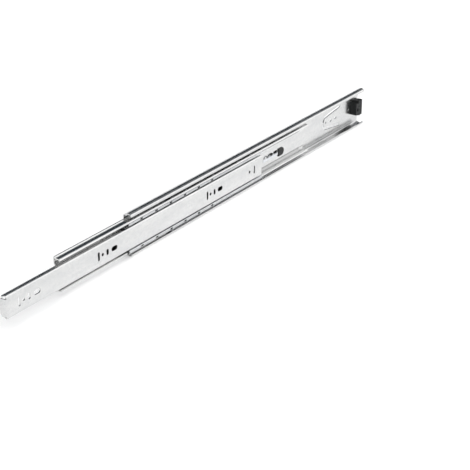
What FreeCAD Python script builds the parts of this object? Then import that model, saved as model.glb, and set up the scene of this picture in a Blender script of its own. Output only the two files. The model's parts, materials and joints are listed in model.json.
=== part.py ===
"""Telescopic ball-bearing drawer slide: three roll-formed steel members, two ball cages, stops and a lever.

Frame: +X is the way the drawer opens, +Y points from the cabinet wall to the drawer, +Z is up.
The origin is the centre of the front cabinet screw hole, on the face that lies against the cabinet wall.
Every member is drawn with its front end at its own x = 0 and runs back along -X.
"""
import FreeCAD, Part
import math
import os
import Sketcher

Vector = FreeCAD.Vector

SIZES = {
    # lengths along the slide
    "cabinet_length": 450.0,
    "middle_length": 421.0,
    "drawer_length": 392.0,
    "front_setback": 32.0,
    "middle_out": 101.0,
    "drawer_out": 71.0,
    # the nested section, seen from the end
    "section_height": 45.7,
    "section_depth": 12.7,
    "steel": 1.2,
    "ball_diameter": 4.76,
    "race_gap": 0.15,
    "outer_ball_depth": 6.2,
    "cabinet_lip_gap": 0.2,
    "cabinet_lip_drop": 1.9,
    "middle_back_gap": 0.9,
    "middle_step_rise": 1.6,
    "inner_ball_lift": 0.32,
    "middle_web_front": "=2 * steel + middle_back_gap + middle_step_rise",
    "inner_ball_depth": "=middle_web_front + inner_ball_lift + ball_diameter / 2",
    "middle_step_height": 9.0,
    "curl_end": 0.3,
    "lip_end": 0.08,
    # ball cages
    "cage_sheet": 0.5,
    "cage_bend": 0.8,
    "cage_edge": 2.0,
    "outer_cage_trim": 0.1,
    "cage_gap": 0.2,
    "pocket_gap": 0.15,
    "outer_balls": 8,
    "inner_balls": 6,
    "ball_pitch": 23.2,
    "outer_cage_end": 6.0,
    "inner_cage_front": 19.5,
    "inner_cage_rear": 92.5,
    "cage_lip": 2.6,
    "cage_lip_inset": 1.1,
    "lip_window_length": 4.2,
    "lip_window_height": 1.8,
    "lip_window_rise": 1.3,
    "cage_bridge": 60.0,
    "outer_cage_home": 200.5,
    "inner_cage_home": 208.0,
    # holes
    "screw_hole": 4.6,
    "small_hole": 3.2,
    "edge_hole": 2.4,
    "edge_hole_inset": 4.0,
    "edge_hole_height": 18.0,
    "slit": 3.0,
    "tab_length": 40.0,
    "tab_free_width": 14.0,
    "tab_root_width": 23.0,
    "first_tab": 39.0,
    "tab_pitch": 96.0,
    "rear_tab_step": 136.0,
    "tab_small_hole": 8.0,
    "tab_screw_hole": 19.0,
    "tab_slot_hole": 30.0,
    "tab_slot_length": 5.6,
    "tab_slot_width": 3.4,
    "tab_nose_bend": 6.0,
    "cross_arm_length": 20.5,
    "cross_arm_start": 2.5,
    "adjuster_slot": 52.0,
    "adjuster_length": 6.4,
    "gauge_row": 66.0,
    "gauge_high": 9.0,
    "gauge_mid": 1.0,
    "gauge_low": -8.0,
    "gauge_hole": 2.6,
    "rear_hole_inset": 22.0,
    "drawer_group_start": 15.0,
    "drawer_group_middle": 120.5,
    "drawer_group_rear": 292.0,
    "slot_height": 9.0,
    "slot_width": 2.6,
    "group_round_hole": 5.5,
    "group_upright_slot": 12.5,
    "upright_slot_height": 6.0,
    "group_screw_slot": 22.5,
    "screw_slot_length": 8.4,
    "rear_round_hole": 77.0,
    "rear_upright_slot": 86.0,
    # stops and catches
    "stop_depth": 5.6,
    "stop_lead": 6.5,
    "stop_drop": 7.0,
    "stop_ramp": 3.0,
    "stop_nose": 1.0,
    "plug_length": 9.4,
    "plug_height": 7.6,
    "plug_drop": 1.5,
    "plug_rim": 0.8,
    "plug_rim_depth": 1.0,
    "rivet_lead": 4.0,
    "bite_length": 14.0,
    "bite_height": 11.0,
    "front_bite": 9.0,
    "rear_bite": 44.6,
    "window_length": 28.0,
    "window_height": 5.6,
    "window_gap": 2.0,
    "catch_teeth": 3,
    "spring_sheet": 0.3,
    "spring_lap": 1.2,
    "spring_end": 1.0,
    "fit_gap": 0.1,
    "rivet_diameter": 2.6,
    "rivet_head": 4.4,
    "rivet_head_height": 0.7,
    # rear bumper on the cabinet member
    "bumper_length": 10.0,
    "bumper_height": 20.0,
    "bumper_depth": 7.4,
    "bumper_notch": 3.6,
    "bumper_window_wall": 2.6,
    "bumper_window_drop": 3.6,
    "bumper_window_height": 4.2,
    "plastic_edge": 0.5,
    "loop_length": 5.5,
    "loop_sheet": 1.0,
    "loop_bend": 1.6,
    # release lever on the drawer member
    "lever_pivot": 262.0,
    "lever_reach": 85.0,
    "lever_tail": 16.0,
    "drawer_travel": 198.0,
    "lever_boss": 8.0,
    "lever_top": 4.2,
    "lever_under": 0.7,
    "hook_drop": 1.8,
    "lever_thick": 2.4,
    "lever_float": 0.3,
    # front end of the drawer member
    "tab_plate_depth": 7.4,
    "tab_plate_bevel": 1.5,
    "fold_radius": 1.0,
}

DOC = FreeCAD.newDocument("drawer_slide")
SHEET = DOC.addObject("Spreadsheet::Sheet", "sizes")
for row, (alias, value) in enumerate(SIZES.items(), start=1):
    SHEET.set(f"A{row}", alias)
    SHEET.set(f"B{row}", str(value))
    SHEET.setAlias(f"B{row}", alias)
DOC.recompute()

NODES = []


def size(alias):
    """Read one driving size back from the sheet."""
    return float(SHEET.get(alias))


STEEL = size("steel")
HALF_STEEL = STEEL / 2
BALL_RADIUS = size("ball_diameter") / 2
# A race is an arc about the ball's centre: this is the radius of the sheet's mid line there.
RACE = BALL_RADIUS + size("race_gap") + HALF_STEEL
OUTER_Y = size("outer_ball_depth")
INNER_Y = size("inner_ball_depth")
OUTER_Z = size("section_height") / 2 - HALF_STEEL - RACE
FLANGE_Z = OUTER_Z - RACE
INNER_Z = FLANGE_Z - RACE
# Front ends of the moving members, and the face of the middle web that looks at the drawer.
MIDDLE_X = "sizes.front_setback + sizes.middle_out"
DRAWER_X = f"{MIDDLE_X} + sizes.drawer_out"
WEB_FRONT = "sizes.middle_web_front"
LOOP_X = "sizes.front_setback - sizes.cabinet_length + sizes.loop_length"


# ---------------------------------------------------------------- outlines

def bent_path(corners):
    """Turn (y, z, bend radius) corners into straight and round pieces of a mid line."""
    pieces = []
    start = Vector(corners[0][0], corners[0][1], 0)
    for before, corner, after in zip(corners, corners[1:], corners[2:]):
        apex = Vector(corner[0], corner[1], 0)
        back = (Vector(before[0], before[1], 0) - apex).normalize()
        ahead = (Vector(after[0], after[1], 0) - apex).normalize()
        turn = math.pi - back.getAngle(ahead)
        reach = corner[2] * math.tan(turn / 2)
        enter = apex + back * reach
        leave = apex + ahead * reach
        centre = apex + (back + ahead).normalize() * (corner[2] / math.cos(turn / 2))
        pieces.append(("line", start, enter, None))
        pieces.append(("arc", enter, leave, centre))
        start = leave
    pieces.append(("line", start, Vector(corners[-1][0], corners[-1][1], 0), None))
    return pieces


def shift_piece(piece, distance):
    """Move one piece of a mid line sideways, to the left when distance is positive."""
    kind, start, end, centre = piece
    if kind == "line":
        along = (end - start).normalize()
        side = Vector(-along.y, along.x, 0) * distance
        return kind, start + side, end + side, None
    turning_left = (start - centre).cross(end - centre).z > 0
    step = -distance if turning_left else distance
    enter = centre + (start - centre).normalize() * ((start - centre).Length + step)
    leave = centre + (end - centre).normalize() * ((end - centre).Length + step)
    return kind, enter, leave, centre


def edge_of(piece):
    """Give the sketch geometry of one piece."""
    kind, start, end, centre = piece
    if kind == "line":
        return Part.LineSegment(start, end)
    radius = (start - centre).Length
    middle = centre + ((start - centre) + (end - centre)).normalize() * radius
    return Part.Arc(start, middle, end)


def sheet_outline(corners, thickness):
    """Outline of a bent sheet that follows the corners, as sketch geometry."""
    path = bent_path(corners)
    left = [shift_piece(piece, thickness / 2) for piece in path]
    right = [shift_piece(piece, -thickness / 2) for piece in path]
    edges = [edge_of(piece) for piece in left + right]
    edges.append(Part.LineSegment(left[0][1], right[0][1]))
    edges.append(Part.LineSegment(left[-1][2], right[-1][2]))
    return edges


def mirrored(corners):
    """Mirror a half section about z = 0 and join both halves across the web."""
    lower = [(y, -z, bend) for y, z, bend in reversed(corners)]
    return lower + list(corners)


def polygon(points):
    """Closed outline through the points."""
    corners = [Vector(x, z, 0) for x, z in points]
    return [Part.LineSegment(a, b) for a, b in zip(corners, corners[1:] + corners[:1])]


def slot_loop(start, end, width):
    """Round-ended slot of a given width between two centres."""
    a = Vector(*start, 0)
    b = Vector(*end, 0)
    along = (b - a).normalize() * (width / 2)
    side = Vector(-along.y, along.x, 0)
    return [
        Part.LineSegment(a + side, b + side),
        Part.Arc(b + side, b + along, b - side),
        Part.LineSegment(b - side, a - side),
        Part.Arc(a - side, a - along, a + side),
    ]


def upright_slot(x, height, width):
    """Slot that stands across the slide, centred on its mid line."""
    reach = (height - width) / 2
    return slot_loop((x, -reach), (x, reach), width)


def level_slot(x, length, width):
    """Slot that lies along the slide, centred on its mid line."""
    reach = (length - width) / 2
    return slot_loop((x - reach, 0), (x + reach, 0), width)


def bite_loop(front, length, height, drop=0.0):
    """D-shaped outline: straight at the front, round at the back; drop lowers its middle."""
    half = height / 2
    top = half - drop
    low = -half - drop
    turn = front - (length - half)
    return [
        Part.LineSegment(Vector(front, top, 0), Vector(turn, top, 0)),
        Part.Arc(Vector(turn, top, 0), Vector(front - length, -drop, 0), Vector(turn, low, 0)),
        Part.LineSegment(Vector(turn, low, 0), Vector(front, low, 0)),
        Part.LineSegment(Vector(front, low, 0), Vector(front, top, 0)),
    ]


# ---------------------------------------------------------------- body features

def new_body(name, x="0", y="0", z="0"):
    """Start a sub-part whose place follows the sheet."""
    body = DOC.addObject("PartDesign::Body", name)
    body.Label = name
    body.setExpression("Placement.Base.x", x)
    body.setExpression("Placement.Base.y", y)
    body.setExpression("Placement.Base.z", z)
    NODES.append(body)
    return body


def origin_feature(body, role):
    """Find one of the body's own origin planes or axes."""
    return next(feature for feature in body.Origin.OriginFeatures if feature.Role == role)


def new_sketch(body, role, *loops, lift=None):
    """Sketch on an origin plane; lift is an expression that moves it along the plane's normal."""
    sketch = body.newObject("Sketcher::SketchObject", f"{body.Name}_sketch")
    sketch.AttachmentSupport = [(origin_feature(body, role), "")]
    sketch.MapMode = "FlatFace"
    if lift:
        sketch.setExpression("AttachmentOffset.Base.z", lift)
    for loop in loops:
        sketch.addGeometry(loop)
    return sketch


def pad(body, sketch, length, backwards=False):
    """Raise a sketch by a length given as an expression."""
    feature = body.newObject("PartDesign::Pad", f"{body.Name}_pad")
    feature.Profile = sketch
    feature.Reversed = backwards
    feature.setExpression("Length", length)
    DOC.recompute()
    return feature


def cut(body, sketch):
    """Cut a sketch right through the body, and make sure that it cut something."""
    before = body.Shape.Volume
    feature = body.newObject("PartDesign::Pocket", f"{body.Name}_cut")
    feature.Profile = sketch
    feature.Type = "ThroughAll"
    feature.SideType = "Symmetric"
    DOC.recompute()
    if body.Shape.Volume >= before:
        raise RuntimeError(f"a cut in {body.Label} removed nothing")
    return feature


def round_hole(sketch, x, z, diameter):
    """Circle whose place and size are expressions; x and z are measured from the sketch's origin."""
    index = sketch.addGeometry(Part.Circle(Vector(-1, 1, 0), Vector(0, 0, 1), 1))
    rules = (
        Sketcher.Constraint("DistanceX", -1, 1, index, 3, -1.0),
        Sketcher.Constraint("DistanceY", -1, 1, index, 3, 1.0),
        Sketcher.Constraint("Diameter", index, 2.0),
    )
    for rule, expression in zip(rules, (x, z, diameter)):
        number = sketch.addConstraint(rule)
        sketch.setExpression(f"Constraints[{number}]", expression)


def holes(body, places):
    """Drill round holes through the web at (x, z, diameter) expressions."""
    sketch = new_sketch(body, "XZ_Plane")
    for x, z, diameter in places:
        round_hole(sketch, x, z, diameter)
    return cut(body, sketch)


def fillet(body, base, edges, radius):
    """Round some edges of the last feature."""
    feature = body.newObject("PartDesign::Fillet", f"{body.Name}_fillet")
    feature.Base = (base, edges)
    feature.Radius = radius
    DOC.recompute()
    return feature


def edges_along(shape, direction, keep):
    """Names of the straight edges that run in a direction and pass a test on their middle point."""
    found = []
    for number, edge in enumerate(shape.Edges, start=1):
        if edge.Curve.TypeId != "Part::GeomLine":
            continue
        if edge.Curve.Direction.cross(direction).Length > 1e-6:
            continue
        if keep(edge.CenterOfMass):
            found.append(f"Edge{number}")
    return found


# ---------------------------------------------------------------- sections of the members

def cabinet_section():
    """Half section of the cabinet member: web, ball race and inward lip."""
    slope = math.radians(22)
    corner_bend = 1.4
    lip_bend = 0.9
    ridge = OUTER_Z + RACE / math.cos(slope)
    lip_y = OUTER_Y + BALL_RADIUS + size("cabinet_lip_gap") + HALF_STEEL
    corner_z = ridge - (OUTER_Y - HALF_STEEL) * math.tan(slope)
    shoulder_z = ridge - (lip_y - OUTER_Y) * math.tan(slope)
    return [
        (HALF_STEEL, corner_z, corner_bend),
        (OUTER_Y, ridge, RACE),
        (lip_y, shoulder_z, lip_bend),
        (lip_y, shoulder_z - size("cabinet_lip_drop"), 0),
    ]


def middle_section():
    """Half section of the middle member: stepped web, outer race, then the curl over the inner race."""
    slope = math.radians(45)
    curl = math.radians(50)
    step_bend = 1.0
    ridge_bend = STEEL * 0.6
    band_y = STEEL + size("middle_back_gap") + HALF_STEEL
    web_y = band_y + size("middle_step_rise")
    step_z = size("middle_step_height")
    groove_y = OUTER_Y - RACE * math.tan(slope / 2)
    curl_y = INNER_Y + RACE * math.tan(curl / 2)
    run = RACE * math.tan(curl / 2) + size("curl_end")
    return [
        (web_y, step_z, step_bend),
        (band_y, step_z + size("middle_step_rise"), step_bend),
        (band_y, FLANGE_Z + (groove_y - band_y) * math.tan(slope), ridge_bend),
        (groove_y, FLANGE_Z, RACE),
        (curl_y, FLANGE_Z, RACE),
        (curl_y + run * math.cos(curl), FLANGE_Z - run * math.sin(curl), 0),
    ]


def drawer_section():
    """Half section of the drawer member: flat web, then a flange with the inner race."""
    slope = math.radians(28)
    corner_bend = 1.4
    web_y = size("section_depth") - HALF_STEEL
    run = RACE * math.tan(slope) + size("lip_end")
    end_y = INNER_Y - run * math.cos(slope)
    groove = INNER_Z - RACE / math.cos(slope)
    return [
        (web_y, groove + (web_y - INNER_Y) * math.tan(slope), corner_bend),
        (INNER_Y, groove, RACE),
        (end_y, groove + (INNER_Y - end_y) * math.tan(slope), 0),
    ]


def cage_section(web_y, ball_z, reach, lip):
    """Half section of a ball cage: thin web, a flange through the balls' centres and perhaps a lip."""
    bend = size("cage_bend")
    if lip:
        return [(web_y, ball_z, bend), (reach, ball_z, bend), (reach, ball_z + lip, 0)]
    return [(web_y, ball_z, bend), (reach, ball_z, 0)]


# ---------------------------------------------------------------- cabinet member

def tab_slit(front, sign):
    """U-shaped slit that frees a mounting tab: round free end, two arms that spread towards the root."""
    length = size("tab_length")
    free = size("tab_free_width") / 2
    root = size("tab_root_width") / 2
    nose = free * 0.62
    centre = [
        (front - sign * length, root, 0),
        (front - sign * nose, free, nose * 0.8),
        (front, 0, size("tab_nose_bend")),
        (front - sign * nose, -free, nose * 0.8),
        (front - sign * length, -root, 0),
    ]
    return sheet_outline(centre, size("slit"))


def cross_arms(front):
    """Two short slits that open forwards, in front of the first tab."""
    inner = size("tab_free_width") / 2 - HALF_STEEL
    outer = size("tab_root_width") / 2
    back = front + size("cross_arm_start")
    tip = back + size("cross_arm_length")
    width = size("slit") * 0.7
    return [slot_loop((back, sign * inner), (tip, sign * outer), width) for sign in (1, -1)]


def tab_fronts():
    """Front ends of the four tabs, measured back from the member's front."""
    first = size("first_tab")
    pitch = size("tab_pitch")
    return [first, first + pitch, first + 2 * pitch, first + 2 * pitch + size("rear_tab_step")]


def make_cabinet_member():
    """Outer member: C section with mounting tabs, screw holes and edge holes."""
    body = new_body("cabinet_member", "sizes.front_setback")
    outline = sheet_outline(mirrored(cabinet_section()), STEEL)
    pad(body, new_sketch(body, "YZ_Plane", outline), "sizes.cabinet_length", backwards=True)
    for front in tab_fronts():
        cut(body, new_sketch(body, "XZ_Plane", tab_slit(-front, 1)))
    cut(body, new_sketch(body, "XZ_Plane", *cross_arms(-size("first_tab"))))
    holes(body, [("-sizes.front_setback", "0", "sizes.screw_hole")])
    starts = ["sizes.first_tab", "sizes.first_tab + sizes.tab_pitch", "sizes.first_tab + 2 * sizes.tab_pitch"]
    starts.append(f"{starts[-1]} + sizes.rear_tab_step")
    holes(body, [(f"-({start} + sizes.tab_small_hole)", "0", "sizes.edge_hole") for start in starts])
    holes(body, [(f"-({start} + sizes.tab_screw_hole)", "0", "sizes.screw_hole") for start in starts])
    slots = [level_slot(-(front + size("tab_slot_hole")), size("tab_slot_length"), size("tab_slot_width"))
             for front in tab_fronts()]
    adjuster = size("first_tab") + size("adjuster_slot")
    slots.append(upright_slot(-adjuster, size("adjuster_length"), size("tab_slot_width")))
    cut(body, new_sketch(body, "XZ_Plane", *slots))
    edge = [("-sizes.edge_hole_inset", z, "sizes.edge_hole") for z in
            ("sizes.edge_hole_height", "0", "-sizes.edge_hole_height")]
    holes(body, edge)
    row_x = "-(sizes.first_tab + sizes.gauge_row)"
    holes(body, [
        (row_x, "sizes.gauge_high", "sizes.gauge_hole"),
        (row_x, "sizes.gauge_mid", "sizes.gauge_hole"),
        (row_x, "sizes.gauge_low", "sizes.small_hole"),
    ])
    holes(body, [("-(sizes.cabinet_length - sizes.rear_hole_inset)", "0", "sizes.edge_hole")])
    return body


def make_rear_bumper():
    """Black plastic block at the rear of the cabinet member, with a notched top and a window."""
    body = new_body("rear_bumper", LOOP_X, "sizes.steel")
    length = size("bumper_length")
    half = size("bumper_height") / 2
    notch = size("bumper_notch")
    outline = polygon([
        (0, -half), (length, -half + notch * 0.7), (length, half - notch * 0.4),
        (length * 0.78, half - notch * 0.85), (length * 0.55, half - notch),
        (length * 0.45, half - notch * 0.15), (length * 0.2, half), (0, half),
    ])
    base = pad(body, new_sketch(body, "XZ_Plane", outline), "sizes.bumper_depth", backwards=True)
    top = base.Shape.BoundBox.YMax
    rim = [f"Edge{number}" for number, edge in enumerate(base.Shape.Edges, start=1)
           if abs(edge.BoundBox.YMin - top) < 1e-6 and edge.Length > notch]
    fillet(body, base, rim, size("plastic_edge"))
    front = length - size("bumper_window_wall")
    back = front - size("bumper_window_wall")
    low = -size("bumper_window_drop")
    high = low + size("bumper_window_height")
    window = polygon([(back, low), (front, low), (front, high), (back, high)])
    cut(body, new_sketch(body, "XZ_Plane", window))
    return body


def make_rear_loop():
    """Springy plastic loop behind the bumper: it takes the closing knock."""
    body = new_body("rear_cushion_loop", LOOP_X, "sizes.steel")
    sheet = size("loop_sheet")
    reach = size("loop_length") - sheet / 2
    depth = size("bumper_depth")
    near = sheet / 2
    bend = size("loop_bend")
    corners = [(0, near, 0), (-reach, near, bend), (-reach, depth - near, bend), (0, depth - near, 0)]
    loop = sheet_outline(corners, sheet)
    sketch = new_sketch(body, "XY_Plane", loop, lift="-(sizes.bumper_height / 2 - sizes.loop_sheet)")
    pad(body, sketch, "sizes.bumper_height - 2 * sizes.loop_sheet")
    return body


# ---------------------------------------------------------------- middle member

def front_bite_x():
    """Front of the D-shaped hole at the front end of the middle member."""
    return -size("front_bite")


def rear_bite_x():
    """Rear edge of the D-shaped hole at the rear end of the middle member."""
    return -size("middle_length") + size("rear_bite")


def plug_loop(rear, grow=0.0):
    """D-shaped outline of the plug's hole, round side at the rear; grow widens it all round."""
    front = rear + size("plug_length") + grow
    return bite_loop(front, size("plug_length") + 2 * grow, size("plug_height") + 2 * grow, size("plug_drop"))


def window_start(at_front):
    """Where the window beside a D-shaped hole starts."""
    if at_front:
        return front_bite_x() - size("bite_length") - size("window_gap")
    return rear_bite_x() + size("plug_length") + size("window_gap")


def window_loop(at_front, shrink=0.0):
    """Round-ended window beside a D-shaped hole; shrink leaves room round what fills it."""
    height = size("window_height")
    inset = (height / 2) + shrink
    start = window_start(at_front)
    sign = -1 if at_front else 1
    far = start + sign * (size("window_length") - inset)
    near = start + sign * inset
    return slot_loop((near, 0), (far, 0), height - 2 * shrink)


def make_middle_member():
    """Middle member: stepped web and two races on each side, with windows near both ends."""
    body = new_body("middle_member", MIDDLE_X)
    outline = sheet_outline(mirrored(middle_section()), STEEL)
    pad(body, new_sketch(body, "YZ_Plane", outline), "sizes.middle_length", backwards=True)
    bites = [
        bite_loop(front_bite_x(), size("bite_length"), size("bite_height")),
        plug_loop(rear_bite_x()),
    ]
    cut(body, new_sketch(body, "XZ_Plane", *bites))
    cut(body, new_sketch(body, "XZ_Plane", window_loop(True), window_loop(False)))
    holes(body, [("-(sizes.front_bite - sizes.rivet_lead)", "0", "sizes.rivet_diameter")])
    return body


def make_stop(name, at_front):
    """Plastic stop: a D-shaped boss that fills its hole in the web, with a block or a rim on top of it.

    The front one has a block that the lever's hook meets. The rear one is a plug with a thin rim.
    """
    front_x = MIDDLE_X if at_front else f"{MIDDLE_X} - sizes.middle_length"
    body = new_body(name, front_x)
    gap = size("fit_gap")
    if at_front:
        bite = size("front_bite")
        boss = bite_loop(-(bite + gap), size("bite_length") - 2 * gap, size("bite_height") - 2 * gap)
        top = stop_block(bite)
        depth = "sizes.stop_depth"
    else:
        boss = plug_loop(size("rear_bite"), -gap)
        top = plug_loop(size("rear_bite"), size("plug_rim"))
        depth = "sizes.plug_rim_depth"
    pad(body, new_sketch(body, "XZ_Plane", boss, lift=f"-({WEB_FRONT})"), "sizes.steel")
    base = pad(body, new_sketch(body, "XZ_Plane", top, lift=f"-({WEB_FRONT})"), depth, backwards=True)
    face = base.Shape.BoundBox.YMax
    edges = edges_along(base.Shape, Vector(1, 0, 0), lambda point: abs(point.y - face) < 1e-6)
    fillet(body, base, edges, size("plastic_edge"))
    return body


def stop_block(bite):
    """Outline of the front stop's block, below the lever's path."""
    inset = bite - size("stop_lead")
    end = bite + size("bite_length")
    low = -size("stop_drop")
    nose = size("stop_nose")
    return polygon([
        (-inset, low), (-end, low), (-end, -nose),
        (-(end - size("stop_ramp")), 0), (-(inset + nose), 0), (-inset, -nose),
    ])


def make_stop_rivet(name, x):
    """Rivet that holds a stop to the middle web."""
    shank = DOC.addObject("Part::Cylinder", f"{name}_shank")
    shank.setExpression("Radius", "sizes.rivet_diameter / 2 - sizes.fit_gap / 2")
    shank.setExpression("Height", "sizes.steel")
    head = DOC.addObject("Part::Cylinder", f"{name}_head")
    head.setExpression("Radius", "sizes.rivet_head / 2")
    head.setExpression("Height", "sizes.rivet_head_height")
    head.setExpression("Placement.Base.z", "sizes.steel")
    return fuse_turned(name, [shank, head], x, WEB_FRONT, "0", turn=90)


def fuse_turned(name, pieces, x, y, z, turn):
    """Fuse round pieces and lay their common axis along Y."""
    rivet = DOC.addObject("Part::MultiFuse", name)
    rivet.Shapes = pieces
    rivet.Label = name
    rivet.Placement = FreeCAD.Placement(Vector(), FreeCAD.Rotation(Vector(1, 0, 0), turn))
    rivet.setExpression("Placement.Base.x", x)
    rivet.setExpression("Placement.Base.y", y)
    rivet.setExpression("Placement.Base.z", z)
    NODES.append(rivet)
    return rivet


def make_catch(name, at_front):
    """Toothed steel catch that lies in a window of the middle web."""
    body = new_body(name, MIDDLE_X)
    gap = size("fit_gap")
    height = size("window_height") / 2 - gap
    start = window_start(at_front)
    sign = -1 if at_front else 1
    near = start + sign * (height + 2 * gap)
    far = start + sign * (size("window_length") - height - 2 * gap)
    teeth = int(size("catch_teeth"))
    pitch = (far - near) / teeth
    tip = far + sign * height * 0.6
    points = [(near, -height), (far, -height), (tip, -height * 0.3), (far, height * 0.75)]
    for tooth in range(teeth):
        foot = far - tooth * pitch
        points.append((foot - pitch * 0.35, height * (0.75 - 0.22 * tooth)))
        points.append((foot - pitch * 0.5, -height * 0.35))
        points.append((foot - pitch, -height * 0.35 + 0.2))
    points.append((near - sign * height * 0.5, -height * 0.6))
    sketch = new_sketch(body, "XZ_Plane", polygon(points), lift=f"-({WEB_FRONT})")
    pad(body, sketch, "sizes.steel")
    return body


def make_catch_spring(name, at_front):
    """Thin steel leaf on the drawer side of a catch, wide enough to hold it in its window."""
    body = new_body(name, MIDDLE_X)
    reach = size("window_height") / 2 + size("spring_lap")
    start = window_start(at_front)
    sign = -1 if at_front else 1
    far = start + sign * (size("window_length") + size("spring_end"))
    near = start - sign * size("spring_end")
    waist = sign * size("spring_end") * 4
    low = -size("window_height") / 4
    plate = polygon([
        (near, -reach), (far, -reach), (far, 0), (far - waist, low), (near + waist, low), (near, 0),
    ])
    sketch = new_sketch(body, "XZ_Plane", plate, lift=f"-({WEB_FRONT})")
    pad(body, sketch, "sizes.spring_sheet", backwards=True)
    return body


# ---------------------------------------------------------------- drawer member

def drawer_groups():
    """Where the three groups of drawer screw holes start, back from the member's front."""
    return [size("drawer_group_start"), size("drawer_group_middle"), size("drawer_group_rear")]


def make_drawer_member():
    """Inner member: C section with a turned-in front tab and three groups of screw holes and slots."""
    body = new_body("drawer_member", DRAWER_X)
    outline = sheet_outline(mirrored(drawer_section()), STEEL)
    pad(body, new_sketch(body, "YZ_Plane", outline), "sizes.drawer_length", backwards=True)
    half = INNER_Z - RACE - STEEL
    depth = size("section_depth")
    low = depth - size("tab_plate_depth")
    bevel = size("tab_plate_bevel")
    tab = polygon([
        (depth, -half), (depth, half), (low + bevel, half),
        (low, half - bevel), (low, -half + bevel), (low + bevel, -half),
    ])
    front = pad(body, new_sketch(body, "YZ_Plane", tab), "sizes.steel")
    fold = edges_along(front.Shape, Vector(0, 0, 1),
                       lambda point: abs(point.y - depth) < 1e-6 and abs(point.x - STEEL) < 1e-6)
    fillet(body, front, fold, size("fold_radius"))
    slots = []
    for start in drawer_groups():
        slots.append(upright_slot(-start, size("slot_height"), size("slot_width")))
        upright = start + size("group_upright_slot")
        slots.append(upright_slot(-upright, size("upright_slot_height"), size("small_hole")))
        level = start + size("group_screw_slot")
        slots.append(level_slot(-level, size("screw_slot_length"), size("screw_hole")))
    rear_slot = size("drawer_group_rear") + size("rear_upright_slot")
    slots.append(upright_slot(-rear_slot, size("slot_height"), size("slot_width")))
    cut(body, new_sketch(body, "XZ_Plane", *slots))
    starts = ("sizes.drawer_group_start", "sizes.drawer_group_middle", "sizes.drawer_group_rear")
    holes(body, [(f"-({start} + sizes.group_round_hole)", "0", "sizes.small_hole") for start in starts])
    holes(body, [
        ("-(sizes.drawer_group_rear + sizes.rear_round_hole)", "0", "sizes.small_hole"),
        ("-sizes.lever_pivot", "0", "sizes.rivet_diameter"),
    ])
    return body


def make_lever_rivet():
    """Pivot rivet of the release lever: shank through the web, collar on the lever's far side."""
    stack = "sizes.lever_float * 2 + sizes.lever_thick"
    shank = DOC.addObject("Part::Cylinder", "lever_rivet_shank")
    shank.setExpression("Radius", "sizes.rivet_diameter / 2 - sizes.fit_gap / 2")
    shank.setExpression("Height", f"sizes.steel + {stack}")
    head = DOC.addObject("Part::Cylinder", "lever_rivet_head")
    head.setExpression("Radius", "sizes.rivet_head / 2")
    head.setExpression("Height", "sizes.rivet_head_height")
    head.setExpression("Placement.Base.z", f"sizes.steel + {stack}")
    return fuse_turned("lever_rivet", [shank, head], f"{DRAWER_X} - sizes.lever_pivot",
                       "sizes.section_depth", "0", turn=90)


def make_lever():
    """Release lever: finger arm above the front stop, a hook that meets its rear face, and a short tail."""
    body = new_body("release_lever", f"{DRAWER_X} - sizes.lever_pivot",
                    "sizes.section_depth - sizes.steel - sizes.lever_float")
    reach = size("lever_reach")
    tail = size("lever_tail")
    stop_back = size("front_bite") + size("bite_length")
    hook = size("lever_pivot") - size("drawer_travel") - stop_back - size("fit_gap") * 2
    boss = size("lever_boss") / 2
    top = size("lever_top")
    under = size("lever_under")
    drop = size("hook_drop")
    outline = polygon([
        (-tail, -boss / 2), (-boss, -boss * 0.9), (boss, -boss * 0.9), (3 * boss, -under),
        (hook - 2 * top, -under), (hook - boss, -drop), (hook, -drop), (hook, under), (reach, under),
        (reach, top * 0.9), (reach - 3 * top, top), (boss, top), (-boss, top * 0.9), (-tail, boss / 2),
    ])
    hole_radius = (size("rivet_diameter") + size("fit_gap")) / 2
    hole = [Part.Circle(Vector(0, 0, 0), Vector(0, 0, 1), hole_radius)]
    base = pad(body, new_sketch(body, "XZ_Plane", outline, hole), "sizes.lever_thick")
    ends = edges_along(base.Shape, Vector(0, 1, 0), lambda point: abs(point.x - reach) < 1e-6
                       or abs(point.x + tail) < 1e-6)
    fillet(body, base, ends, 2 * size("plastic_edge"))
    return body


# ---------------------------------------------------------------- ball cages

def lip_windows(balls, ball_z):
    """Openings in the cage's lips, one beside each ball."""
    half = (size("lip_window_length") - size("lip_window_height")) / 2
    z = ball_z + size("lip_window_rise")
    loops = []
    for number in range(balls):
        x = size("ball_pitch") * (number - (balls - 1) / 2)
        for side in (z, -z):
            loops.append(slot_loop((x - half, side), (x + half, side), size("lip_window_height")))
    return loops


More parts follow.
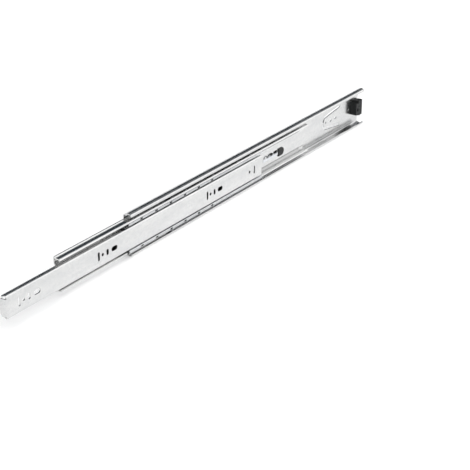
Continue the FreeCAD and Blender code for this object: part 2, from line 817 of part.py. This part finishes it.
def make_cage(name, x, web_y, ball_z, reach, lip=0.0):
    """Ball cage whose row of balls is centred on its own x = 0: two flanges with pockets and a short web.

    The name starts with outer or inner, as the sizes of the two cages do.
    """
    side = name.split("_")[0]
    inner = side == "inner"
    row = f"sizes.ball_pitch * (sizes.{side}_balls - 1)"
    front_end = "sizes.inner_cage_front" if inner else "sizes.outer_cage_end"
    rear_end = "sizes.inner_cage_rear" if inner else "sizes.outer_cage_end"
    body = new_body(name, x)
    outline = sheet_outline(mirrored(cage_section(web_y, ball_z, reach, lip)), size("cage_sheet"))
    sketch = new_sketch(body, "YZ_Plane", outline, lift=f"{row} / 2 + {front_end}")
    pad(body, sketch, f"{row} + {front_end} + {rear_end}", backwards=True)
    bridge = size("cage_bridge") / 2
    edge = ball_z - size("cage_edge")
    for sign in (1, -1):
        near = sign * bridge
        end = sign * size("cabinet_length")
        gap = polygon([(near, -edge), (end, -edge), (end, edge), (near, edge)])
        cut(body, new_sketch(body, "XZ_Plane", gap))
    if lip:
        cut(body, new_sketch(body, "XZ_Plane", *lip_windows(int(size(f"{side}_balls")), ball_z)))
    pocket = new_sketch(body, "XY_Plane")
    width = "sizes.ball_diameter + 2 * sizes.pocket_gap"
    round_hole(pocket, f"-{row} / 2", f"sizes.{side}_ball_depth", width)
    first = cut(body, pocket)
    pockets = body.newObject("PartDesign::LinearPattern", f"{name}_pockets")
    pockets.Originals = [first]
    pockets.Direction = (origin_feature(body, "X_Axis"), [""])
    pockets.setExpression("Length", row)
    pockets.setExpression("Occurrences", f"sizes.{side}_balls")
    body.Tip = pockets
    DOC.recompute()
    return body


def make_ball_row(name, x, z):
    """One row of loose steel balls, spaced by the cage's pockets."""
    side = name.split("_")[0]
    balls = []
    for number in range(int(size(f"{side}_balls"))):
        ball = DOC.addObject("Part::Sphere", f"{name}_ball")
        ball.setExpression("Radius", "sizes.ball_diameter / 2")
        place = f"sizes.ball_pitch * ({number} - (sizes.{side}_balls - 1) / 2)"
        ball.setExpression("Placement.Base.x", place)
        balls.append(ball)
    row = DOC.addObject("Part::Compound", name)
    row.Links = balls
    row.Label = name
    row.Placement = FreeCAD.Placement(Vector(0, 0, z), FreeCAD.Rotation())
    row.setExpression("Placement.Base.x", x)
    row.setExpression("Placement.Base.y", f"sizes.{side}_ball_depth")
    NODES.append(row)
    return row


def make_cages():
    """Both cages with their four rows of balls; each cage travels half as far as the member it carries."""
    outer_x = "sizes.front_setback - sizes.outer_cage_home + sizes.middle_out / 2"
    inner_x = f"{MIDDLE_X} - sizes.inner_cage_home + sizes.drawer_out / 2"
    half_sheet = size("cage_sheet") / 2
    outer_web = STEEL + size("cage_gap") + half_sheet
    inner_web = size("middle_web_front") + size("cage_gap") + half_sheet
    outer_reach = OUTER_Y + BALL_RADIUS - size("outer_cage_trim")
    inner_reach = size("section_depth") - size("cage_lip_inset")
    make_cage("outer_ball_cage", outer_x, outer_web, OUTER_Z, outer_reach)
    make_cage("inner_ball_cage", inner_x, inner_web, INNER_Z, inner_reach, lip=size("cage_lip"))
    make_ball_row("outer_balls_upper", outer_x, OUTER_Z)
    make_ball_row("outer_balls_lower", outer_x, -OUTER_Z)
    make_ball_row("inner_balls_upper", inner_x, INNER_Z)
    make_ball_row("inner_balls_lower", inner_x, -INNER_Z)


# ---------------------------------------------------------------- assembly

make_cabinet_member()
make_rear_bumper()
make_rear_loop()
make_middle_member()
make_stop("front_stop", at_front=True)
make_stop("rear_stop", at_front=False)
make_stop_rivet("front_stop_rivet", f"{MIDDLE_X} - (sizes.front_bite - sizes.rivet_lead)")
make_catch("front_catch", at_front=True)
make_catch("rear_catch", at_front=False)
make_catch_spring("front_catch_spring", at_front=True)
make_catch_spring("rear_catch_spring", at_front=False)
make_drawer_member()
make_lever_rivet()
make_lever()
make_cages()
DOC.recompute()

for item in DOC.Objects:
    if "Invalid" in item.State or "Error" in item.State:
        raise RuntimeError(f"{item.Label} failed: {item.State}")
for node in NODES:
    if node.Shape.isNull() or not node.Shape.isValid():
        raise RuntimeError(f"{node.Label} has no valid shape")

os.makedirs("parts", exist_ok=True)
for node in NODES:
    node.Shape.exportStep(f"parts/{node.Label}.step")
    print(node.Label, round(node.Shape.Volume, 1), len(node.Shape.Solids))
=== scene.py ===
"""Looks for a telescopic ball-bearing drawer slide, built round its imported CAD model.

Frame: +X is the way the drawer opens, +Y points from the cabinet wall to the drawer, +Z is up, in metres.
"""
import json
import logging
import math
from dataclasses import dataclass
from enum import Enum
from typing import Any

import bpy
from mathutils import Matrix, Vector

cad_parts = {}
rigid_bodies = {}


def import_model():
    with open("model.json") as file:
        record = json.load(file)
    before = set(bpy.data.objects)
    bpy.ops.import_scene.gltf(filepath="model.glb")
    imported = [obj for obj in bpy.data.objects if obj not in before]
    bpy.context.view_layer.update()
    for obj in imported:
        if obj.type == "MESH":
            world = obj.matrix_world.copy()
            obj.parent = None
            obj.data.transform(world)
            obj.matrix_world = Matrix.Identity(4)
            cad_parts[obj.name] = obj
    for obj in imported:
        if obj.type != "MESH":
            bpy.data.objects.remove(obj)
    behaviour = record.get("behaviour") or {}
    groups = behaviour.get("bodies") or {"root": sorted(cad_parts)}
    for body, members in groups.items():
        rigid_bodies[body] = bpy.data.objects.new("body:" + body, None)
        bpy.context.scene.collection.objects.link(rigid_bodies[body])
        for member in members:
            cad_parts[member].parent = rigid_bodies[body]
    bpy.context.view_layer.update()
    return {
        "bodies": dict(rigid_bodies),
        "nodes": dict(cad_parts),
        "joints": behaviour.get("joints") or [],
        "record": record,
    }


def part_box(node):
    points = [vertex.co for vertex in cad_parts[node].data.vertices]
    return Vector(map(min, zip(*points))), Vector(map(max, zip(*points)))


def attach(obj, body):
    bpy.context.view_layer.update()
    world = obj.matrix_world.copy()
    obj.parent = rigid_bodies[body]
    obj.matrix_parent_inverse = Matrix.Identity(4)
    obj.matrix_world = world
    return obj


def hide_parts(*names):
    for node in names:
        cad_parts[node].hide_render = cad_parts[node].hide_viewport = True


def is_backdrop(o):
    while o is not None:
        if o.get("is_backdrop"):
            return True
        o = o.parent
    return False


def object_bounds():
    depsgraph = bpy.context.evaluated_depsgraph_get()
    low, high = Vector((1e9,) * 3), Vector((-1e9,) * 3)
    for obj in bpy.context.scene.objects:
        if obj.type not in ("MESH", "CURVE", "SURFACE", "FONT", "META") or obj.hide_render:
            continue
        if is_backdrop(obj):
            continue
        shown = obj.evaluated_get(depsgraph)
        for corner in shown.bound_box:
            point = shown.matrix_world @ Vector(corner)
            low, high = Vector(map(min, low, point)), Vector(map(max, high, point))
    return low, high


LOG = logging.getLogger("drawer_slide")
MILLIMETRE = 0.001

Colour = tuple[float, float, float]


class Slot(Enum):
    """Material slots of the record that the pieces take their finish from."""

    ZINC_STEEL = "zinc_steel"
    CAGE_STEEL = "cage_steel"
    BALL_STEEL = "ball_steel"
    RIVET_STEEL = "rivet_steel"
    SPRING_STEEL = "spring_steel"
    BLACK_PLASTIC = "black_plastic"


class Body(Enum):
    """Moving bodies of the slide."""

    CABINET = "cabinet"
    MIDDLE = "middle"
    DRAWER = "drawer"
    LEVER = "lever"
    OUTER_CAGE = "outer_cage"
    INNER_CAGE = "inner_cage"


# ---------------------------------------------------------------- node trees

class Signal:
    """An output socket of a node tree that can be used in arithmetic."""

    def __init__(self, bench: "Bench", socket: bpy.types.NodeSocket) -> None:
        """Wrap a socket.

        Args:
            bench: The tree that the socket belongs to.
            socket: The output socket.
        """
        self.bench = bench
        self.socket = socket

    def _combine(self, operation: str, left: Any, right: Any) -> "Signal":
        """Add a Math node.

        Args:
            operation: The Math node's operation.
            left: The first value or signal.
            right: The second value or signal.

        Returns:
            The node's result.
        """
        return self.bench.signal("ShaderNodeMath", {"operation": operation}, {0: left, 1: right})

    def __add__(self, other: Any) -> "Signal":
        """Sum with a value or signal."""
        return self._combine("ADD", self, other)

    def __sub__(self, other: Any) -> "Signal":
        """Take away a value or signal."""
        return self._combine("SUBTRACT", self, other)

    def __rmul__(self, other: Any) -> "Signal":
        """Multiply a value by this signal."""
        return self._combine("MULTIPLY", other, self)

    def at_least(self, floor: float) -> "Signal":
        """Hold the signal at or above a value."""
        return self._combine("MAXIMUM", self, floor)


class Bench:
    """Adds nodes to one tree and joins them."""

    def __init__(self, tree: bpy.types.NodeTree) -> None:
        """Start on an emptied tree.

        Args:
            tree: The node tree to fill.
        """
        self.tree = tree
        self.tree.nodes.clear()

    def node(self, kind: str, settings: dict[str, Any] | None = None,
             inputs: dict[int | str, Any] | None = None) -> bpy.types.Node:
        """Add one node.

        Args:
            kind: The node's type.
            settings: Attributes that are set first.
            inputs: Values or signals by socket name or index.

        Returns:
            The new node.
        """
        made = self.tree.nodes.new(kind)
        for name, value in (settings or {}).items():
            setattr(made, name, value)
        for key, value in (inputs or {}).items():
            if isinstance(value, Signal):
                self.tree.links.new(value.socket, made.inputs[key])
            else:
                made.inputs[key].default_value = value
        return made

    def signal(self, kind: str, settings: dict[str, Any] | None = None,
               inputs: dict[int | str, Any] | None = None, output: int | str = 0) -> Signal:
        """Add one node and take one of its outputs.

        Args:
            kind: The node's type.
            settings: Attributes that are set first.
            inputs: Values or signals by socket name or index.
            output: The output's name or index.

        Returns:
            That output as a signal.
        """
        return Signal(self, self.node(kind, settings, inputs).outputs[output])


class ShaderBench(Bench):
    """Builds one material."""

    def __init__(self, name: str) -> None:
        """Make an empty material.

        Args:
            name: The material's name.
        """
        self.material = bpy.data.materials.new(name)
        self.material.use_nodes = True
        super().__init__(self.material.node_tree)
        self.place = self.signal("ShaderNodeTexCoord", output="Object")

    def stretched(self, factors: Colour) -> Signal:
        """Scale the object's coordinates by three factors."""
        return self.signal("ShaderNodeVectorMath", {"operation": "MULTIPLY"}, {0: self.place, 1: factors})

    def noise(self, factors: Colour, detail: float = 2.0, roughness: float = 0.5) -> Signal:
        """Add a noise pattern.

        Args:
            factors: Waves per metre along each axis.
            detail: Octaves of finer noise.
            roughness: Weight of the finer octaves.

        Returns:
            The noise, from 0 to 1.
        """
        return self.signal("ShaderNodeTexNoise", {"noise_dimensions": "3D"}, {
            "Vector": self.stretched(factors), "Scale": 1.0, "Detail": detail, "Roughness": roughness})

    def grains(self, factors: Colour) -> Signal:
        """Add cells whose tone changes from one to the next."""
        cells = self.node("ShaderNodeTexVoronoi", {"feature": "F1"},
                          {"Vector": self.stretched(factors), "Scale": 1.0})
        return self.signal("ShaderNodeSeparateXYZ", None, {0: Signal(self, cells.outputs["Color"])})

    def ranged(self, value: Signal, low: float, high: float, start: float, end: float) -> Signal:
        """Map a signal from one range to another, held at the ends.

        Args:
            value: The signal.
            low: Where the old range starts.
            high: Where the old range ends.
            start: Where the new range starts.
            end: Where the new range ends.

        Returns:
            The mapped signal.
        """
        return self.signal("ShaderNodeMapRange", {"clamp": True}, {
            "Value": value, "From Min": low, "From Max": high, "To Min": start, "To Max": end})

    def blend(self, share: Signal, first: Colour, second: Colour) -> Signal:
        """Mix two colours.

        Args:
            share: How much of the second colour.
            first: The first colour.
            second: The second colour.

        Returns:
            The mixed colour.
        """
        return self.signal("ShaderNodeMix", {"data_type": "RGBA"},
                           {0: share, 6: (*first, 1.0), 7: (*second, 1.0)}, output=2)

    def bump(self, height: Signal, strength: float, distance: float) -> Signal:
        """Turn a height into a surface normal.

        Args:
            height: The height pattern, from 0 to 1.
            strength: How much of the bump is used.
            distance: Height of the pattern in metres.

        Returns:
            The bent normal.
        """
        return self.signal("ShaderNodeBump", None,
                           {"Strength": strength, "Distance": distance, "Height": height})

    def close(self, inputs: dict[int | str, Any]) -> bpy.types.Material:
        """Add the surface shader and the output.

        Args:
            inputs: Values and signals of the Principled shader.

        Returns:
            The finished material.
        """
        surface = self.signal("ShaderNodeBsdfPrincipled", None, inputs)
        self.node("ShaderNodeOutputMaterial", None, {"Surface": surface})
        return self.material


class GeometryBench(Bench):
    """Builds one Geometry Nodes tree with named inputs."""

    def __init__(self, name: str) -> None:
        """Make an empty tree with a geometry input and output.

        Args:
            name: The tree's name.
        """
        super().__init__(bpy.data.node_groups.new(name, "GeometryNodeTree"))
        self.tree.interface.new_socket("Geometry", in_out="INPUT", socket_type="NodeSocketGeometry")
        self.tree.interface.new_socket("Geometry", in_out="OUTPUT", socket_type="NodeSocketGeometry")
        self.entry = self.node("NodeGroupInput")
        self.identifiers: dict[str, str] = {}

    def input(self, name: str, kind: str) -> Signal:
        """Add a named input.

        Args:
            name: The input's name.
            kind: The socket's type, such as NodeSocketFloat.

        Returns:
            The input as a signal.
        """
        socket = self.tree.interface.new_socket(name, in_out="INPUT", socket_type=kind)
        self.identifiers[name] = socket.identifier
        return Signal(self, self.entry.outputs[name])

    def close(self, geometry: Signal, material: bpy.types.Material) -> None:
        """Realize the instances, set the material and end the tree.

        Args:
            geometry: What the tree makes.
            material: The finish of the result.
        """
        real = self.signal("GeometryNodeRealizeInstances", None, {0: geometry})
        smooth = self.signal("GeometryNodeSetShadeSmooth", None, {0: real, "Shade Smooth": True})
        dressed = self.signal("GeometryNodeSetMaterial", None, {0: smooth, "Material": material})
        self.node("NodeGroupOutput", None, {0: dressed})

    def grow(self, name: str, values: dict[str, Any]) -> bpy.types.Object:
        """Run the tree once and keep the result as a plain mesh object at the origin.

        Args:
            name: The new piece's name.
            values: The named inputs' values.

        Returns:
            The new piece.
        """
        seed = bpy.data.objects.new(f"{name}_seed", bpy.data.meshes.new(f"{name}_seed"))
        bpy.context.scene.collection.objects.link(seed)
        modifier = seed.modifiers.new("grow", "NODES")
        modifier.node_group = self.tree
        for key, value in values.items():
            modifier[self.identifiers[key]] = value
        graph = bpy.context.evaluated_depsgraph_get()
        mesh = bpy.data.meshes.new_from_object(seed.evaluated_get(graph))
        bpy.data.objects.remove(seed)
        mesh.name = name
        piece = bpy.data.objects.new(name, mesh)
        bpy.context.scene.collection.objects.link(piece)
        return piece


# ---------------------------------------------------------------- finishes

@dataclass(frozen=True)
class RolledSteel:
    """Bright plated sheet steel with lengthwise grain and a soft mottle."""

    name: str
    dark: Colour
    light: Colour
    smooth: float
    dull: float
    streaks: Colour = (7.0, 260.0, 260.0)
    grain: Colour = (45.0, 1700.0, 1700.0)
    clouds: Colour = (26.0, 60.0, 60.0)
    crystals: Colour = (420.0, 420.0, 420.0)
    grain_height: float = 0.04 * MILLIMETRE
    cloud_share: float = 0.42
    streak_share: float = 0.33
    crystal_share: float = 0.15
    grain_share: float = 0.10
    bump_strength: float = 0.35

    def make(self) -> bpy.types.Material:
        """Build the material."""
        bench = ShaderBench(self.name)
        streaks = bench.noise(self.streaks, detail=3.0)
        grain = bench.noise(self.grain, detail=2.0, roughness=0.6)
        clouds = bench.noise(self.clouds, detail=3.0, roughness=0.55)
        crystals = bench.grains(self.crystals)
        tone = (self.cloud_share * clouds + self.streak_share * streaks
                + self.crystal_share * crystals + self.grain_share * grain)
        share = bench.ranged(tone, 0.32, 0.68, 0.0, 1.0)
        worn = bench.ranged(0.6 * clouds + 0.4 * grain, 0.3, 0.7, self.smooth, self.dull)
        return bench.close({
            "Base Color": bench.blend(share, self.dark, self.light),
            "Metallic": 1.0,
            "Roughness": worn,
            "Normal": bench.bump(0.6 * grain + 0.4 * streaks, self.bump_strength, self.grain_height),
        })


@dataclass(frozen=True)
class PolishedSteel:
    """Ground bearing steel with fine scuffs, its colour kept dark as painted shade of the cage pockets
    round the balls.
    """

    name: str
    # Painted shade: these dark base colours stand in for the shade inside the cage pockets, with random
    # patches between the two tones.
    dark: Colour = (0.20, 0.21, 0.22)
    light: Colour = (0.34, 0.35, 0.36)
    scuffs: Colour = (900.0, 900.0, 900.0)
    tone_patches: Colour = (140.0, 140.0, 140.0)
    smooth: float = 0.06
    dull: float = 0.16
    scuff_height: float = 0.01 * MILLIMETRE
    bump_strength: float = 0.1

    def make(self) -> bpy.types.Material:
        """Build the material."""
        bench = ShaderBench(self.name)
        tone_patches = bench.noise(self.tone_patches, detail=2.0)
        scuffs = bench.noise(self.scuffs, detail=3.0, roughness=0.65)
        return bench.close({
            "Base Color": bench.blend(bench.ranged(tone_patches, 0.35, 0.65, 0.0, 1.0), self.dark, self.light),
            "Metallic": 1.0,
            "Roughness": bench.ranged(0.5 * scuffs + 0.5 * tone_patches, 0.3, 0.7, self.smooth, self.dull),
            "Normal": bench.bump(scuffs, self.bump_strength, self.scuff_height),
        })


@dataclass(frozen=True)
class MouldedPlastic:
    """Dark moulded plastic with a fine spark-eroded texture and rubbed patches."""

    name: str
    dark: Colour = (0.004, 0.005, 0.005)
    light: Colour = (0.012, 0.013, 0.013)
    texture: Colour = (2600.0, 2600.0, 2600.0)
    rubs: Colour = (160.0, 240.0, 240.0)
    smooth: float = 0.34
    dull: float = 0.52
    shine: float = 0.22
    texture_height: float = 0.03 * MILLIMETRE
    bump_strength: float = 0.3

    def make(self) -> bpy.types.Material:
        """Build the material."""
        bench = ShaderBench(self.name)
        texture = bench.noise(self.texture, detail=2.0, roughness=0.6)
        rubs = bench.noise(self.rubs, detail=3.0)
        return bench.close({
            "Base Color": bench.blend(bench.ranged(rubs, 0.35, 0.7, 0.0, 1.0), self.dark, self.light),
            "Metallic": 0.0,
            "Roughness": bench.ranged(0.7 * rubs + 0.3 * texture, 0.3, 0.7, self.smooth, self.dull),
            "Specular IOR Level": self.shine,
            "Normal": bench.bump(texture, self.bump_strength, self.texture_height),
        })


FINISHES: dict[Slot, Any] = {
    Slot.ZINC_STEEL: RolledSteel("zinc_plated_sheet", (0.58, 0.585, 0.59), (0.70, 0.70, 0.695), 0.17, 0.27),
    Slot.CAGE_STEEL: RolledSteel("cage_strip", (0.44, 0.45, 0.46), (0.62, 0.63, 0.64), 0.28, 0.42),
    Slot.BALL_STEEL: PolishedSteel("bearing_balls"),
    Slot.RIVET_STEEL: RolledSteel("plated_rivets", (0.60, 0.61, 0.63), (0.80, 0.80, 0.81), 0.24, 0.38,
                                  streaks=(600.0, 600.0, 600.0), grain=(2200.0, 2200.0, 2200.0)),
    Slot.SPRING_STEEL: RolledSteel("spring_leaf", (0.55, 0.57, 0.60), (0.78, 0.79, 0.81), 0.16, 0.28),
    Slot.BLACK_PLASTIC: MouldedPlastic("moulded_stops"),
}


class Wardrobe:
    """Keeps one material for each slot and dresses pieces in them."""

    def __init__(self) -> None:
        """Build every finish once."""
        self.materials = {slot: finish.make() for slot, finish in FINISHES.items()}

    def dress(self, piece: bpy.types.Object, slot: Slot) -> None:
        """Give a piece one finish all over.

        Args:
            piece: The piece or CAD node.
            slot: The record's slot it takes its finish from.
        """
        for holder in piece.material_slots:
            holder.material = self.materials[slot]


# ---------------------------------------------------------------- sub-assemblies

@dataclass
class CarriedNodes:
    """CAD nodes whose shape is right, so that they only get their finish."""

    frame: dict[str, Any]
    wardrobe: Wardrobe

    def build(self) -> None:
        """Dress every node in the slot that the record gives it."""
        for row in self.frame["record"]["subparts"]:
            node = self.frame["nodes"][row["node"]]
            self.wardrobe.dress(node, Slot(row["material_slot"]))
            LOG.info("node %s in %s", row["node"], row["material_slot"])


@dataclass
class BallRows:
    """Bearing balls, one row of round balls for each CAD row."""

    wardrobe: Wardrobe
    outer_balls: int = 8
    inner_balls: int = 6
    around: int = 28
    rings: int = 16

    def tree(self) -> GeometryBench:
        """Build the row as a line of points with a ball on each."""
        bench = GeometryBench("ball_row")
        count = bench.input("Balls", "NodeSocketInt")
        start = bench.input("Row start", "NodeSocketVector")
        step = bench.input("Step", "NodeSocketVector")
        radius = bench.input("Ball radius", "NodeSocketFloat")
        line = bench.signal("GeometryNodeMeshLine", {"mode": "OFFSET", "count_mode": "TOTAL"},
                            {"Count": count, "Start Location": start, "Offset": step})
        ball = bench.signal("GeometryNodeMeshUVSphere", None,
                            {"Segments": self.around, "Rings": self.rings, "Radius": radius})
        row = bench.signal("GeometryNodeInstanceOnPoints", None, {"Points": line, "Instance": ball})
        bench.close(row, self.wardrobe.materials[Slot.BALL_STEEL])
        return bench

    def build(self) -> None:
        """Make the four rows where the CAD rows lie."""
        tree = self.tree()
        for body, balls in ((Body.OUTER_CAGE, self.outer_balls), (Body.INNER_CAGE, self.inner_balls)):
            side = body.value.split("_")[0]
            for level in ("upper", "lower"):
                node = f"{side}_balls_{level}"
                low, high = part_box(node)
                radius = (high.z - low.z) / 2
                centre = (low + high) / 2
                step = (high.x - low.x - 2 * radius) / (balls - 1)
                piece = tree.grow(f"{side}_ball_row_{level}", {
                    "Balls": balls,
                    "Row start": Vector((low.x + radius, centre.y, centre.z)),
                    "Step": Vector((step, 0.0, 0.0)),
                    "Ball radius": radius,
                })
                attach(piece, body.value)
                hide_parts(node)
                LOG.info("piece %s: %d balls", piece.name, balls)


@dataclass
class BumperRibs:
    """Moulded ribs across the drawer-side face of the rear bumper."""

    wardrobe: Wardrobe
    ribs: int = 4
    radius: float = 0.45 * MILLIMETRE
    margin: float = 3.2 * MILLIMETRE
    around: int = 12

    def tree(self) -> GeometryBench:
        """Build round-ended ribs side by side."""
        bench = GeometryBench("bumper_ribs")
        count = bench.input("Ribs", "NodeSocketInt")
        start = bench.input("Row start", "NodeSocketVector")
        step = bench.input("Step", "NodeSocketVector")
        reach = bench.input("Rib end", "NodeSocketVector")
        radius = bench.input("Rib radius", "NodeSocketFloat")
        line = bench.signal("GeometryNodeMeshLine", {"mode": "OFFSET", "count_mode": "TOTAL"},
                            {"Count": count, "Start Location": start, "Offset": step})
        spine = bench.signal("GeometryNodeCurvePrimitiveLine", {"mode": "POINTS"}, {"End": reach})
        ring = bench.signal("GeometryNodeCurvePrimitiveCircle", {"mode": "RADIUS"},
                            {"Resolution": self.around, "Radius": radius})
        rib = bench.signal("GeometryNodeCurveToMesh", None,
                           {"Curve": spine, "Profile Curve": ring, "Fill Caps": True})
        row = bench.signal("GeometryNodeInstanceOnPoints", None, {"Points": line, "Instance": rib})
        bench.close(row, self.wardrobe.materials[Slot.BLACK_PLASTIC])
        return bench

    def build(self) -> None:
        """Make the ribs on the bumper's open face."""
        low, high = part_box("rear_bumper")
        length = (high.x - low.x) / 2 - 2 * self.radius
        reach = high.z - low.z - 2 * self.margin
        step = reach / (self.ribs - 1)
        piece = self.tree().grow("bumper_ribs", {
            "Ribs": self.ribs,
            "Row start": Vector((low.x + 2 * self.radius, high.y, low.z + self.margin)),
            "Step": Vector((0.0, 0.0, step)),
            "Rib end": Vector((length, 0.0, 0.0)),
            "Rib radius": self.radius,
        })
        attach(piece, Body.CABINET.value)
        LOG.info("piece %s: %d ribs", piece.name, self.ribs)


# ---------------------------------------------------------------- studio

@dataclass
class Studio:
    """Pale floor, soft light from above and the camera."""

    lens: float = 96.4
    camera_azimuth: float = 124.5
    camera_elevation: float = 25.2
    camera_distance: float = 1.203
    target: Colour = (-0.028, 0.088, -0.001)
    floor_half: float = 6.0
    ceiling: float = 1.45
    wall: Colour = (0.035, 0.045, 0.055)
    glow: float = 0.25
    wall_top: float = 0.74
    wall_edge: float = 0.10
    wall_fall: float = 4.0
    paper_dark: Colour = (0.90, 0.90, 0.90)
    paper_light: Colour = (0.93, 0.93, 0.93)

    def floor(self) -> None:
        """Lay a wide pale floor just under the slide."""
        low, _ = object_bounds()
        half = self.floor_half
        mesh = bpy.data.meshes.new("studio_floor")
        corners = [(-half, -half, low.z), (half, -half, low.z), (half, half, low.z), (-half, half, low.z)]
        mesh.from_pydata(corners, [], [(0, 1, 2, 3)])
        floor = bpy.data.objects.new("studio_floor", mesh)
        bpy.context.scene.collection.objects.link(floor)
        bench = ShaderBench("pale_floor")
        wash = bench.noise((1.5, 1.5, 1.5), detail=1.0)
        mesh.materials.append(bench.close({
            "Base Color": bench.blend(wash, self.paper_dark, self.paper_light),
            "Roughness": 0.8,
            "Specular IOR Level": 0.0,
            "Emission Color": (1.0, 1.0, 1.0, 1.0),
            "Emission Strength": self.glow,
        }))
        floor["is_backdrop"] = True

    def sky(self) -> None:
        """Bright room on the drawer's side and overhead, a dim, cool wall on the cabinet's side."""
        world = bpy.data.worlds.new("studio")
        bpy.context.scene.world = world
        world.use_nodes = True
        bench = Bench(world.node_tree)
        way = bench.signal("ShaderNodeTexCoord", output="Generated")
        parts = bench.node("ShaderNodeSeparateXYZ", None, {0: way})
        side = Signal(bench, parts.outputs["Y"])
        height = Signal(bench, parts.outputs["Z"])
        share = bench.signal("ShaderNodeMapRange", {"interpolation_type": "SMOOTHSTEP"}, {
            "Value": side + self.wall_fall * (height - self.wall_top).at_least(0.0),
            "From Min": -self.wall_edge, "From Max": self.wall_edge})
        glow = bench.signal("ShaderNodeMix", {"data_type": "RGBA"}, {
            0: share, 6: (*self.wall, 1.0), 7: (self.ceiling, self.ceiling, self.ceiling, 1.0)}, output=2)
        seen = bench.signal("ShaderNodeLightPath", output="Is Camera Ray")
        light = bench.signal("ShaderNodeMix", {"data_type": "RGBA"},
                             {0: seen, 6: glow, 7: (1.0, 1.0, 1.0, 1.0)}, output=2)
        back = bench.signal("ShaderNodeBackground", None, {"Color": light, "Strength": 1.0})
        bench.node("ShaderNodeOutputWorld", None, {"Surface": back})

    def camera(self) -> None:
        """Set the camera up and make it the scene's own."""
        data = bpy.data.cameras.new("studio_camera")
        data.lens = self.lens
        data.clip_start = 0.01
        data.clip_end = 50.0
        camera = bpy.data.objects.new("studio_camera", data)
        bpy.context.scene.collection.objects.link(camera)
        turn = math.radians(self.camera_azimuth)
        rise = math.radians(self.camera_elevation)
        back = Vector((math.sin(turn) * math.cos(rise), -math.cos(turn) * math.cos(rise), math.sin(rise)))
        camera.location = Vector(self.target) + back * self.camera_distance
        camera.rotation_mode = "QUATERNION"
        camera.rotation_quaternion = (-back).to_track_quat("-Z", "Y")
        bpy.context.scene.camera = camera

    def build(self) -> None:
        """Make the floor, the light and the camera."""
        self.floor()
        self.sky()
        self.camera()
        bpy.context.scene.view_settings.view_transform = "Standard"


def main() -> None:
    """Load the frame, build every sub-assembly and set up the studio."""
    logging.basicConfig(level=logging.INFO, format="%(message)s")
    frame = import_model()
    wardrobe = Wardrobe()
    CarriedNodes(frame, wardrobe).build()
    BallRows(wardrobe).build()
    BumperRibs(wardrobe).build()
    Studio().build()


if __name__ == "__main__":
    main()
